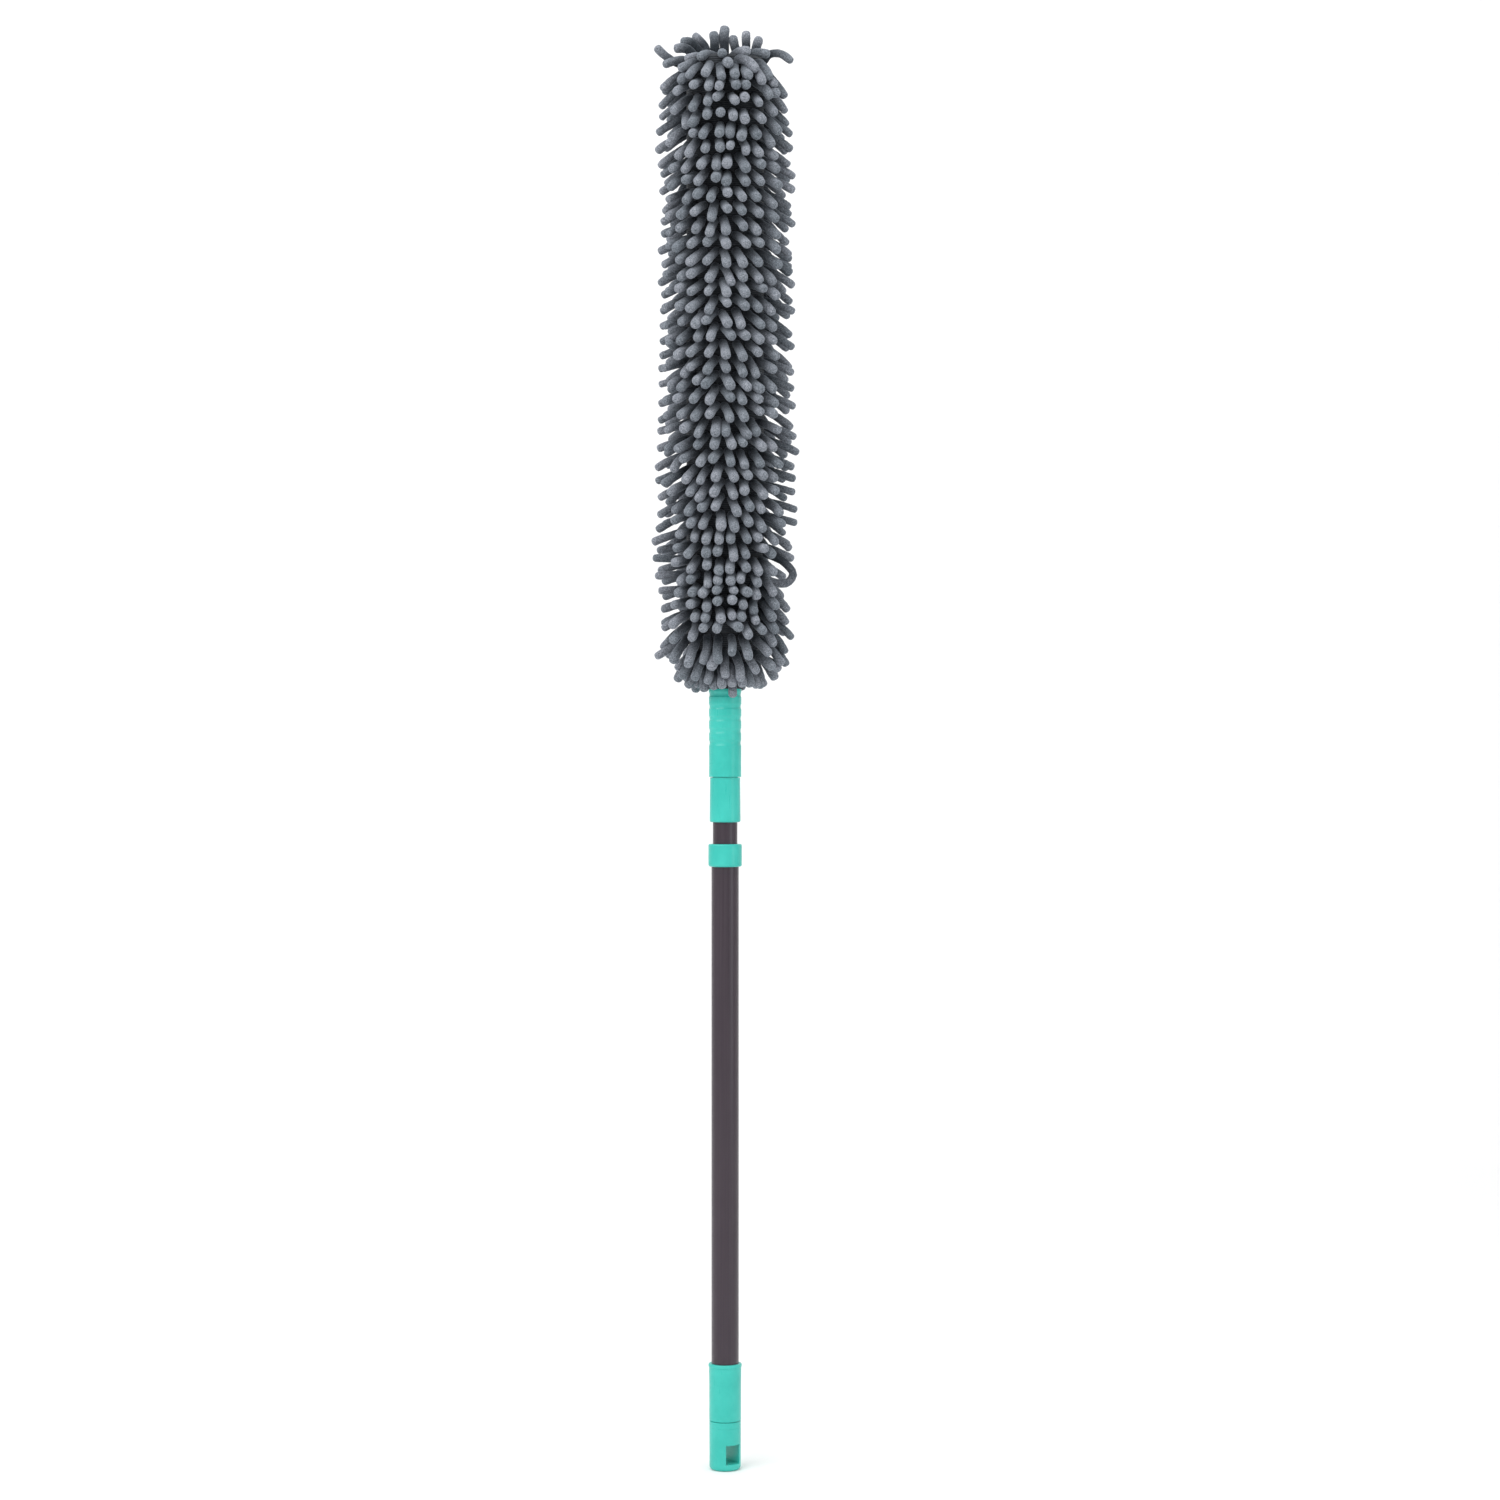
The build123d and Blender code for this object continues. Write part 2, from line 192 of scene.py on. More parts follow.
def make_pole_lacquer():
    """Gunmetal lacquer over a drawn tube, whose fine draw lines run along it."""
    m = Material("pole_lacquer", Metallic=0.25, Coat_Weight=0.3, Coat_Roughness=0.25)
    lines = m.noise(700, detail=3, stretch=(1, 1, 0.01), roughness=0.6)
    cloud = m.noise(35)
    colour = m.ramp(lines, (0.030, 0.017, 0.028), (0.042, 0.028, 0.040), start=0.3, end=0.7)
    colour = m.multiply(colour, m.ramp(cloud, (0.9, 0.9, 0.9), (1, 1, 1)))
    roughness = m.range(lines, 0.30, 0.42)
    flake = m.bump(m.noise(4000), distance=0.03 * MM, strength=0.25)
    return m.finish(Base_Color=colour, Roughness=roughness,
                    Normal=m.bump(lines, distance=0.05 * MM, strength=0.25, over=flake))


def make_chenille():
    """Dense short microfibre pile: a soft nap, with painted shade that darkens each tuft towards its root, deep
    between the tufts, and a painted highlight on its tip.

    A tuft has two attributes: along, from 0 at its root to 1 at its tip, and tint, its own
    random shade.
    """
    m = Material("chenille", Sheen_Weight=0.35, Sheen_Roughness=0.45,
                 Sheen_Tint=(0.80, 0.88, 1.0, 1), Specular_IOR_Level=0.15)
    nap = m.noise(1300, detail=3, roughness=0.7)
    mottle = m.noise(620)
    along, tint = m.attribute("along"), m.attribute("tint")
    colour = m.ramp(nap, (0.090, 0.101, 0.115), (0.330, 0.352, 0.392), start=0.36, end=0.66)
    patches = m.ramp(mottle, (0.70, 0.73, 0.74), (1.22, 1.20, 1.20), start=0.3, end=0.7)
    # painted shade and highlight: each tuft is darkened towards its root, deep between the tufts, and brightened a
    # little at its tip
    painted_shade_and_tip_light = m.ramp(along, (0.13, 0.143, 0.155), (1.06, 1.06, 1.06), start=0.28)
    own = m.ramp(tint, (0.74, 0.77, 0.78), (1.14, 1.12, 1.13))
    for shade in (patches, painted_shade_and_tip_light, own):
        colour = m.multiply(colour, shade)
    soft = m.bump(mottle, distance=0.5 * MM, strength=0.5)
    return m.finish(Base_Color=colour, Roughness=m.range(nap, 0.85, 1.0),
                    Normal=m.bump(nap, distance=0.35 * MM, strength=0.8, over=soft))


def make_backing_knit():
    """The cover's knitted ground, in rows of small loops. Its near-black grey is partly its own and partly painted
    shade, as falls deep between the tufts.
    """
    m = Material("backing_knit", Sheen_Weight=0.15, Specular_IOR_Level=0.2)
    rows = m.rows(190, Distortion=1.5, Detail=1.0)
    wales = m.noise(900, stretch=(1, 1, 0.4))
    # partly painted shade: the ground's grey is darkened to the shade deep between the tufts
    colour = m.ramp(rows, (0.022, 0.026, 0.032), (0.055, 0.060, 0.068))
    between = m.ramp(wales, (0.7, 0.7, 0.7), (1.1, 1.1, 1.1), start=0.3, end=0.7)
    return m.finish(Base_Color=m.multiply(colour, between), Roughness=m.range(wales, 0.85, 1.0),
                    Normal=m.bump(rows, distance=0.4 * MM, strength=0.7))


def make_ribbed_band():
    """Elastic rib knit of the cuff."""
    m = Material("ribbed_band", Sheen_Weight=0.2, Specular_IOR_Level=0.2)
    ribs = m.noise(420, detail=1, stretch=(1, 1, 0.02))
    loops = m.rows(300, Distortion=0.8)
    colour = m.ramp(ribs, (0.020, 0.022, 0.026), (0.075, 0.080, 0.090), start=0.35, end=0.65)
    colour = m.multiply(colour, m.ramp(loops, (0.75, 0.75, 0.75), (1.1, 1.1, 1.1)))
    stitches = m.bump(loops, distance=0.2 * MM, strength=0.6)
    return m.finish(Base_Color=colour, Roughness=m.range(loops, 0.8, 0.95),
                    Normal=m.bump(ribs, distance=0.4 * MM, strength=0.8, over=stitches))


def make_nylon():
    """Natural nylon, matt, with a slight mould texture."""
    m = Material("nylon", Subsurface_Weight=0.15, Subsurface_Scale=2 * MM)
    cloud = m.noise(250, detail=3)
    colour = m.ramp(cloud, (0.66, 0.64, 0.57), (0.78, 0.77, 0.71), start=0.3, end=0.7)
    return m.finish(Base_Color=colour, Roughness=m.range(cloud, 0.42, 0.58),
                    Normal=m.bump(m.noise(3500), distance=0.04 * MM, strength=0.4))


def make_steel():
    """Zinc-plated wire and fasteners, with fine draw lines and duller patches."""
    m = Material("steel", Metallic=1.0)
    lines = m.noise(2500, stretch=(1, 1, 0.02))
    dull = m.noise(220, detail=3)
    colour = m.ramp(dull, (0.42, 0.42, 0.43), (0.62, 0.62, 0.63), start=0.3, end=0.7)
    return m.finish(Base_Color=colour, Roughness=m.range(dull, 0.28, 0.5),
                    Normal=m.bump(lines, distance=0.02 * MM, strength=0.4))


def make_foam():
    """Open-cell foam: small dark pores in a matt grey."""
    m = Material("foam", Specular_IOR_Level=0.2)
    cells = m.add("ShaderNodeTexVoronoi", Vector=m.place(), Scale=900).outputs["Distance"]
    colour = m.ramp(cells, (0.035, 0.035, 0.037), (0.16, 0.16, 0.17), start=0.1, end=0.5)
    return m.finish(Base_Color=colour, Roughness=m.range(m.noise(500), 0.85, 1.0),
                    Normal=m.bump(cells, distance=0.5 * MM, strength=0.8))


def make_floor_paint():
    """Matt pale paint of the floor and backdrop."""
    m = Material("floor_paint", Specular_IOR_Level=0.1)
    grain = m.noise(400)
    colour = m.ramp(grain, (0.925, 0.925, 0.925), (0.94, 0.94, 0.94), start=0.3, end=0.7)
    return m.finish(Base_Color=colour, Roughness=m.range(grain, 0.8, 0.9))


# ---- mesh helpers -------------------------------------------------------------------------
def make_object(name, points, quads, material, triangles=None):
    """A mesh object from arrays of points, four-cornered faces and three-cornered faces."""
    corners = [quads.ravel()]
    starts = [np.arange(len(quads)) * 4]
    if triangles is not None:
        corners.append(triangles.ravel())
        starts.append(len(quads) * 4 + np.arange(len(triangles)) * 3)
    corners, starts = np.concatenate(corners), np.concatenate(starts)
    mesh = bpy.data.meshes.new(name)
    mesh.vertices.add(len(points))
    mesh.vertices.foreach_set("co", points.astype(np.float32).ravel())
    mesh.loops.add(len(corners))
    mesh.loops.foreach_set("vertex_index", corners.astype(np.int32))
    mesh.polygons.add(len(starts))
    mesh.polygons.foreach_set("loop_start", starts.astype(np.int32))
    mesh.update(calc_edges=True)
    mesh.validate()
    mesh.shade_smooth()
    mesh.materials.append(material)
    piece = bpy.data.objects.new(name, mesh)
    bpy.context.scene.collection.objects.link(piece)
    return piece


def add_attribute(piece, name, values):
    attribute = piece.data.attributes.new(name, "FLOAT", "POINT")
    attribute.data.foreach_set("value", values.astype(np.float32))


def unit(vectors):
    return vectors / np.maximum(np.linalg.norm(vectors, axis=-1, keepdims=True), 1e-12)


def dot(a, b):
    return (a * b).sum(-1, keepdims=True)


def curve_through(points, count):
    """Resamples each line of points, (lines, points, 3), with count points of a smooth curve.

    The curve is a Catmull-Rom spline. Its ends are carried on straight by one point.
    """
    last = points.shape[1] - 1
    padded = np.concatenate(
        [2 * points[:, :1] - points[:, 1:2], points, 2 * points[:, -1:] - points[:, -2:-1]], 1)
    t = np.linspace(0, last, count)
    i = np.minimum(t.astype(int), last - 1)
    u = (t - i)[None, :, None]
    a, b, c, d = (padded[:, i + k] for k in range(4))
    return 0.5 * (2 * b + (c - a) * u + (2 * a - 5 * b + 4 * c - d) * u ** 2
                  + (3 * b - a - 3 * c + d) * u ** 3)


# ---- where the tufts grow, and how they lie -----------------------------------------------
# Stops are (millimetres above the cover's foot, value), set from the photograph.
# Angles are in degrees.

# the rows of tufts, each (row, millimetres above the cover's foot). They crowd near the foot.
ROW_PLACES = [(0, 5), (3, 40), (5, 58), (8, 90), (10, 115), (40, 485)]
# how far the tufts hang below level, at the front and at each side
HANG_FRONT = [(5, 66), (17, 52), (28, 38), (37, 14), (58, 10), (80, 18), (110, 25), (250, 28),
              (400, 24), (474, 17), (485, 30)]
HANG_LEFT = [(5, 52), (17, 46), (28, 40), (40, 41), (50, 28), (59, 12), (79, 11), (100, 2),
             (112, 14), (130, 24), (150, 26), (220, 17), (356, 18), (400, 27), (485, 34)]
HANG_RIGHT = [(5, 50), (17, 46), (28, 42), (60, 46), (76, 44), (92, 28), (130, 20), (150, 18),
              (200, 23), (240, 29), (340, 31), (420, 30), (485, 44)]
# a tuft leaves its root at the first share of its hang, and ends at the second
SAG = (0.75, 1.2)

# A quarter of the head has five columns, from its front or back centre to its side. These say
# which way each column points, in degrees round from the centre: where they lie straight, where
# they part down the front, where they spread at the foot, and at the back.
STRAIGHT = [1, 3, 10, 28, 90]
PARTED = [14, 21, 29, 42, 90]
SPREAD = [8, 27, 46, 68, 90]
AT_BACK = [6, 19, 36, 56, 90]
# how much they part and spread, from 0 to 1
PARTING = [(60, 0), (100, 0.2), (210, 0.9), (340, 1), (400, 0.5), (440, 0.15)]
SPREADING = [(22, 1), (34, 0.8), (42, 0)]
# how far each column is drawn to the centre where the tufts part, in millimetres
DRAWN_IN = [1.9, 1.2, 0.6, 0, 0]
# how much each column hangs as the side does, and not as the front does
TO_SIDE = [0, 0.1, 0.3, 0.7, 1]
# how far the side column leans to the front and the back by turns
LEAN = 9
# how much further round every other row points, where it is staggered at the foot
STAGGER_TURN = 10
# how far the columns have slipped round the head, in millimetres across the front
SLIP = [(90, 0), (140, 1), (230, -4.6), (370, -4.6), (450, 1.5)]
# the tufts' length, against the usual, everywhere and on the left side
LENGTH_ALL = [(5, 0.7), (17, 0.9), (28, 1)]
LENGTH_LEFT = [(42, 1), (50, 0.76), (70, 0.76), (78, 1), (140, 1), (200, 0.86), (380, 0.86),
               (430, 1)]
ON_LEFT = -0.9                                # a tuft that points further to -X is on the left

# how uneven the tufts are, as standard deviations. Each pair is the usual one, and what is
# added where the tufts spread at the foot.
UNEVEN_HEIGHT = 0.7 * MM
UNEVEN_PLACE = 0.05                           # of a column
UNEVEN_WAY, UNEVEN_WAY_FOOT = [4, 4, 4, 5, 6], 9   # for each of a quarter's columns
UNEVEN_HANG, UNEVEN_HANG_FOOT = 3, 8
UNEVEN_LENGTH, UNEVEN_LENGTH_FOOT = 0.05, 0.06
UNEVEN_RADIUS = 0.045
EVEN_DRAW = 1.7                               # uniform from - to + this deviates by about 1

# tufts on the cover's top, each as three points of a curve: root, middle and tip, in
# millimetres across, back and above the cover's top
CROWN = [
    # a loose row along the back that stands up
    ((-25, 4, -3), (-40, 4, -4), (-54, 2, 10)), ((-21, 8, -2), (-28, 11, 16), (-38, 12, 13)),
    ((-17, 12, -2), (-23, 14, 21), (-33, 16, 19)), ((-13, 13, -2), (-14, 14, 16), (-25, 17, 24)),
    ((-8, 13, -2), (-9, 14, 12), (-8.5, 16, 26)), ((-0.5, 14, -2), (-1, 15, 12), (-0.5, 17, 29)),
    ((11, 14, -2), (11, 15, 10), (5, 17, 22)), ((17, 12, -2), (16.5, 13, 12), (17, 15, 25)),
    ((25, 9, -2), (23, 10, 10), (27, 12, 20)), ((27, 4, -3), (38, 4, 15), (52, 0, 1)),
    # a loose row along the front edge that droops
    ((-24, 2, -1), (-34, 0, 4), (-47, -8, -4)), ((-20, -14, -6), (-27, -22, -4), (-34, -25, -12)),
    ((2.5, -17, -7), (2.8, -28, -6), (3, -39, -10)),
    ((9, -17, -5), (14, -28, 0), (23, -34, -14)), ((22, -12, -6), (30, -20, -3), (36, -25, -19)),
]
# the tuft that is caught at both ends: its radius, its root, and its line in millimetres from that
LOOP_R = TUFT_R * 0.92
LOOP_ROOT = np.array([BACKING[0] * 0.95, -2 * MM, LOOP_Z])
LOOP = [(0, 0, 11), (9, -2, 8.5), (18, -4, 3.5), (25, -5, -5), (21, -5, -12.5), (12, -4, -13),
        (1, -1, -9)]


def oval_points(half, shares):
    """Points on an ellipse at shares of its girth from the front centre."""
    angle = np.linspace(0, 2 * math.pi, 721)
    x, y = half[0] * np.sin(angle), -half[1] * np.cos(angle)
    girth = np.concatenate([[0], np.cumsum(np.hypot(np.diff(x), np.diff(y)))])
    at = np.interp(np.mod(shares, 1) * girth[-1], girth, angle)
    return np.stack([half[0] * np.sin(at), -half[1] * np.cos(at)], -1)


def backing_half(z):
    """Half width and half depth of the backing at a height. Its foot is gathered in."""
    share = np.clip((z - HEAD_LOW) / GATHER_HEIGHT, 0, 1)
    return GATHERED + (BACKING - GATHERED) * share[..., None]


def by_height(z, stops):
    """A value between given stops."""
    return np.interp((z - HEAD_LOW) / MM, *zip(*stops))


def pointing(turn):
    """Level unit vectors, at angles round from the front."""
    return np.column_stack([np.sin(turn), -np.cos(turn)])


def lay_wall_tufts():
    """Centrelines of the tufts on the wall of the cover, row by row."""
    row, column = (a.ravel() for a in np.meshgrid(np.arange(ROWS), np.arange(COLUMNS),
                                                  indexing="ij"))
    z = HEAD_LOW + np.interp(row, *zip(*ROW_PLACES)) * MM
    beside_loop = (column == COLUMNS // 4) & (abs(z - LOOP_Z) < LOOP_ROOM)
    row, column, z = (a[~beside_loop] for a in (row, column, z))
    count = len(row)
    z += random.normal(0, UNEVEN_HEIGHT, count)
    # nth is a column's number in its quarter. Going round, half of the quarters run outward
    # from their centre to the side, and the others back.
    half_turn, place = np.divmod(column, COLUMNS / 2)
    outward = place < COLUMNS / 4
    nth = np.where(outward, place, COLUMNS / 2 - 1 - place).astype(int)
    parted, spread = by_height(z, PARTING), by_height(z, SPREADING)

    girth = 2 * math.pi * math.hypot(*BACKING) / math.sqrt(2)
    staggered = (row % 2) * spread
    shares = (column + 0.5 + 0.5 * staggered + random.normal(0, UNEVEN_PLACE, count)) / COLUMNS
    drawn = np.take(DRAWN_IN, nth) * parted * np.where(outward, -1, 1)
    shares += (by_height(z, SLIP) + drawn) * MM / girth
    roots_xy = oval_points(BACKING, shares) * backing_half(z) / BACKING

    azimuth = (np.take(STRAIGHT, nth) * (1 - parted - spread)
               + np.take(PARTED, nth) * parted + np.take(SPREAD, nth) * spread)
    side = len(STRAIGHT) - 1
    at_back = outward == (half_turn == 1)
    azimuth = np.where(at_back & (nth < side), np.take(AT_BACK, nth), azimuth)
    azimuth = np.where(outward, azimuth, 180 - azimuth) + 180 * half_turn
    azimuth += np.where(nth == side, LEAN * (-1.0) ** row, 0) + STAGGER_TURN * staggered
    uneven = np.take(UNEVEN_WAY, nth) + UNEVEN_WAY_FOOT * spread
    across = pointing(np.radians(azimuth + random.uniform(-EVEN_DRAW, EVEN_DRAW, count) * uneven))

    to_side = np.take(TO_SIDE, nth)
    hang_side = np.where(across[:, 0] > 0, by_height(z, HANG_RIGHT), by_height(z, HANG_LEFT))
    hang = by_height(z, HANG_FRONT) * (1 - to_side) + hang_side * to_side
    uneven = UNEVEN_HANG + UNEVEN_HANG_FOOT * spread
    hang = np.radians(hang + random.normal(0, 1, count) * uneven)
    roots = np.column_stack([roots_xy - across * ROOT_DEPTH, z])
    on_left = across[:, 0] < ON_LEFT
    length = by_height(z, LENGTH_ALL) * np.where(on_left, by_height(z, LENGTH_LEFT), 1)
    uneven = UNEVEN_LENGTH + UNEVEN_LENGTH_FOOT * spread
    length = TUFT_LENGTH * (length * (1 + random.normal(0, 1, count) * uneven)) + ROOT_DEPTH
    return bend_out(roots, across, SAG[0] * hang, SAG[1] * hang, length)


def bend_out(roots, across, start_hang, end_hang, length):
    """Centrelines that leave each root across, and sag from one angle to the other."""
    step = length / (TUFT_POINTS - 1)
    points = [roots]
    for k in range(TUFT_POINTS - 1):
        share = k / (TUFT_POINTS - 2)
        hang = start_hang * (1 - share) + end_hang * share
        way = np.column_stack([across * np.cos(hang)[:, None], -np.sin(hang)])
        points.append(points[-1] + way * step[:, None])
    return np.stack(points, 1)


def lay_crown_tufts():
    """The loose tufts round the cover's top edge."""
    root, middle, tip = np.moveaxis(np.array(CROWN), 1, 0)[..., None, :]
    t = np.linspace(0, 1, TUFT_POINTS)[:, None]
    lines = root * (1 - t) ** 2 + middle * 2 * t * (1 - t) + tip * t ** 2
    return lines * MM + np.array([0, 0, HEAD_TOP])


def ring_of_ways(count, start, uneven):
    """Ways to point all round the head. Start and uneven are shares of the space between two."""
    turn = (np.arange(count) + random.normal(start, uneven, count)) / count * 2 * math.pi
    return pointing(turn)


def lay_top_tufts():
    """A rosette of tufts from the middle of the cover's closed top, which lie flat over it."""
    count, rosette_half = 10, np.array([8, 5]) * MM
    across = ring_of_ways(count, 0, 0.12)
    roots = np.column_stack([across * rosette_half, np.full(count, HEAD_TOP)])
    rise, fall = np.radians(random.normal(18, 5, count)), np.radians(random.normal(16, 5, count))
    return bend_out(roots, across, -rise, fall, TUFT_LENGTH * random.normal(0.9, 0.06, count))


def lay_foot_tufts():
    """A ring of tufts under the cover's lower edge, which hang round the top of the grip."""
    count, inset, above = 6, 0.93, 1 * MM
    across = ring_of_ways(count, 0.5, 0.15)
    roots = np.column_stack([across * GATHERED * inset, np.full(count, HEAD_LOW + above)])
    hang = np.radians(random.normal(62, 6, count))
    length = TUFT_LENGTH * random.normal(0.48, 0.12, count)
    length[0] = TUFT_LENGTH * 0.8              # one in front hangs lower
    return bend_out(roots, across, hang, 1.1 * hang, length)


def curl(lines):
    """Bends each tuft a little its own way, and a few of them more, as handling does."""
    share, lowest = 0.05, HEAD_LOW + 80 * MM   # of those bent more
    more, usual = 0.17, 0.022                  # standard deviations of the bend, in radians a step
    count = len(lines)
    chosen = (random.random(count) < share) & (lines[:, 0, 2] > lowest)
    axis = unit(random.normal(0, 1, (count, 3)))
    angle = np.where(chosen, random.normal(0, more, count), random.normal(0, usual, count))
    out = [lines[:, 0]]
    steps = np.diff(lines, axis=1)
    for k in range(TUFT_POINTS - 1):
        a = (angle * k)[:, None]
        step = steps[:, k]
        turned = (step * np.cos(a) + np.cross(axis, step) * np.sin(a)
                  + axis * dot(axis, step) * (1 - np.cos(a)))
        out.append(out[-1] + turned)
    return np.stack(out, 1)


# ---- how the tufts push each other apart --------------------------------------------------
ROUNDS = 70
NEAR = 14 * MM                                # points that start further apart never meet
CHUNK = 500                                   # points compared with all the others at once
PUSH = 0.3                                    # share of an overlap that each point moves back
PULL_BACK = 0.08                              # share of the way back to a tuft's own shape
ROOT_WIDTH, TIP_WIDTH = 0.84, 1.12            # of a tuft's radius, as the others feel it
ON_CUFF = HEAD_LOW - 2 * MM                   # below this a tuft meets the cuff or the grip
OVER_TOP = HEAD_TOP - 4 * MM                  # above this it lies over the top's rounded edge


def settle(lines, radii):
    """Pushes tufts out of each other, of the cover and of the grip, as they lie on the head."""
    shape = lines.copy()
    lines = lines.copy()
    points = lines.shape[1]
    steps = np.linalg.norm(np.diff(lines, axis=1), axis=-1, keepdims=True)
    a, b = pairs_nearby(lines)
    reach = (radii[:, None] * np.linspace(ROOT_WIDTH, TIP_WIDTH, points)).ravel()
    gap = reach[a] + reach[b]
    free = np.clip(np.arange(points) / 2, 0, 1)[None, :, None]   # a root stays where it is
    for _ in range(ROUNDS):
        flat = lines.reshape(-1, 3)
        apart = flat[a] - flat[b]
        far = np.linalg.norm(apart, axis=-1)
        push = np.maximum(gap - far, 0) * PUSH
        way = apart / np.maximum(far, 1e-6)[:, None] * push[:, None]
        move = np.zeros_like(flat)
        np.add.at(move, a, way)
        np.add.at(move, b, -way)
        lines = lines + move.reshape(lines.shape) * free
        lines += (shape - lines) * PULL_BACK
        lines = clear_of_solids(lines, radii, free)
        for k in range(1, points):             # each tuft keeps its length
            step = lines[:, k] - lines[:, k - 1]
            lines[:, k] = lines[:, k - 1] + unit(step) * steps[:, k - 1]
    return lines


def pairs_nearby(lines):
    """Numbers of the pairs of points on two different tufts that are near each other."""
    owner = np.repeat(np.arange(len(lines)), lines.shape[1])
    flat = lines.reshape(-1, 3)
    pairs = []
    for start in range(0, len(flat), CHUNK):
        near = np.linalg.norm(flat[start:start + CHUNK, None] - flat[None], axis=-1) < NEAR
        a, b = np.nonzero(near)
        a += start
        keep = (a < b) & (owner[a] != owner[b])
        pairs.append(np.stack([a[keep], b[keep]]))
    return np.concatenate(pairs, 1)


def clear_of_solids(lines, radii, free):
    """Moves points outwards that are inside the backing, or inside the cuff or grip below it."""
    off_backing, off_cuff = 0.7, 1.02          # radii from a centreline to each surface
    least = 0.3                                # limits how far a deep point moves
    xy, z = lines[..., :2], lines[..., 2]
    half = backing_half(z) + radii[:, None, None] * off_backing
    inside = np.sqrt(((xy / half) ** 2).sum(-1))
    beside = (z > ON_CUFF) & (z < OVER_TOP) & (inside < 1)
    out = np.where(beside, 1 / np.maximum(inside, least), 1)[..., None]
    xy = xy * (1 + (out - 1) * free)
    clear = CUFF_R + radii[:, None] * off_cuff
    far = np.linalg.norm(xy, axis=-1)
    touching = (z <= ON_CUFF) & (far < clear)
    out = np.where(touching, clear / np.maximum(far, 1 * MM), 1)[..., None]
    return np.concatenate([xy * out, z[..., None]], -1)


# ---- tufts as meshes ----------------------------------------------------------------------
SIDES, SHAFT_RINGS, TIP_RINGS = 16, 18, 6
# a tuft's width, as (share of its length, share of its radius)
WIDTH = [(0, 0.80), (0.12, 0.97), (0.6, 1.0), (0.92, 1.05), (1, 1.02)]
# its tip: the exponents along and across that make it fuller than a ball, and its length in radii
TIP_FULLER, TIP_LENGTH = (0.9, 0.75), 0.95
# its middle points, in radii past the ends of its centreline
ROOT_POINT, TIP_POINT = 0.4, 0.97
TURN_FROM = [0.31, 0.17, 0.93]                # any direction that no tuft starts in
# its nap: bumps as (how many to the metre, height in millimetres)
FINE_NAP, BROAD_NAP = (620, 0.24), (150, 0.30)
SEED_REACH = 0.37                             # metres over which the tufts' naps are spread


def tuft_meshes(lines, radii, seeds):
    """Points, quads, triangles and shares along the tuft of round-ended tufts with a rough nap,
    and how many points each has."""
    count = len(lines)
    centre = curve_through(lines, SHAFT_RINGS)
    tangent = unit(np.gradient(centre, axis=1))
    width = np.interp(np.linspace(0, 1, SHAFT_RINGS), *zip(*WIDTH))
    angle = np.linspace(0, math.pi / 2, TIP_RINGS + 1)[1:-1]
    tip_out, tip_width = np.sin(angle) ** TIP_FULLER[0], np.cos(angle) ** TIP_FULLER[1]
    tip = centre[:, -1:] + tangent[:, -1:] * (radii[:, None] * tip_out * TIP_LENGTH)[..., None]
    centre = np.concatenate([centre, tip], 1)
    tangent = np.concatenate([tangent, np.repeat(tangent[:, -1:], len(angle), 1)], 1)
    width = np.concatenate([width, width[-1] * tip_width])
    rings = len(width)
    first = np.cross(tangent[:, 0], np.broadcast_to(TURN_FROM, tangent[:, 0].shape))
    normal = [unit(first)]
    for k in range(1, rings):
        t = tangent[:, k]
        normal.append(unit(normal[-1] - dot(normal[-1], t) * t))
    normal = np.stack(normal, 1)
    binormal = np.cross(tangent, normal)
    turn = np.linspace(0, 2 * math.pi, SIDES, endpoint=False)
    spoke = (normal[:, :, None] * np.cos(turn)[None, None, :, None]
             + binormal[:, :, None] * np.sin(turn)[None, None, :, None])
    reach = (radii[:, None] * width)[:, :, None, None]
    wall = roughen(centre[:, :, None] + spoke * reach, spoke, seeds)
    root_point = centre[:, 0] - tangent[:, 0] * ROOT_POINT * radii[:, None]
    tip_point = centre[:, SHAFT_RINGS - 1] + tangent[:, -1] * radii[:, None] * TIP_POINT
    points = np.concatenate([wall.reshape(count, -1, 3), np.stack([root_point, tip_point], 1)], 1)
    each = rings * SIDES + 2

    ring, side = np.meshgrid(np.arange(rings - 1), np.arange(SIDES), indexing="ij")
    after = (side + 1) % SIDES
    quads = np.stack([ring * SIDES + side, ring * SIDES + after,
                      (ring + 1) * SIDES + after, (ring + 1) * SIDES + side], -1).reshape(-1, 4)
    k = np.arange(SIDES)
    last = (rings - 1) * SIDES
    base = np.stack([np.full(SIDES, each - 2), (k + 1) % SIDES, k], -1)
    point = np.stack([np.full(SIDES, each - 1), last + k, last + (k + 1) % SIDES], -1)
    triangles = np.concatenate([base, point])
    offset = (np.arange(count) * each)[:, None, None]
    along = np.minimum(np.arange(rings) / (SHAFT_RINGS - 1), 1)
    along = np.concatenate([np.repeat(along, SIDES), [0, 1]])
    return (points.reshape(-1, 3), (quads[None] + offset).reshape(-1, 4),
            (triangles[None] + offset).reshape(-1, 3), np.tile(along, count), each)


def roughen(wall, spoke, seeds):
    """Small bumps that give the nap an uneven edge."""
    at = (wall + seeds[:, None, None, None] * SEED_REACH).reshape(-1, 3)
    fine, broad = (
        np.fromiter((noise.noise(Vector(p)) for p in (at * scale).tolist()), float, len(at))
        * height for scale, height in (FINE_NAP, BROAD_NAP))
    bumps = (fine + broad) * MM
    return wall + spoke * bumps.reshape(*wall.shape[:3], 1)


def length_of(z):
    """Which of the cover's pieces a root at that height belongs to."""
    return np.clip(np.floor((z - HEAD_LOW) / LENGTH + 0.5).astype(int), 0, LENGTHS)


def join_to_frame(piece, k):
    """Rides an end piece of the cover on its body, and bakes any other's placement into its mesh."""
    if k == 0:
        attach(piece, BODIES[0])
    elif k == LENGTHS:
        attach(piece, BODIES[-1])
    else:
        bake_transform(piece)


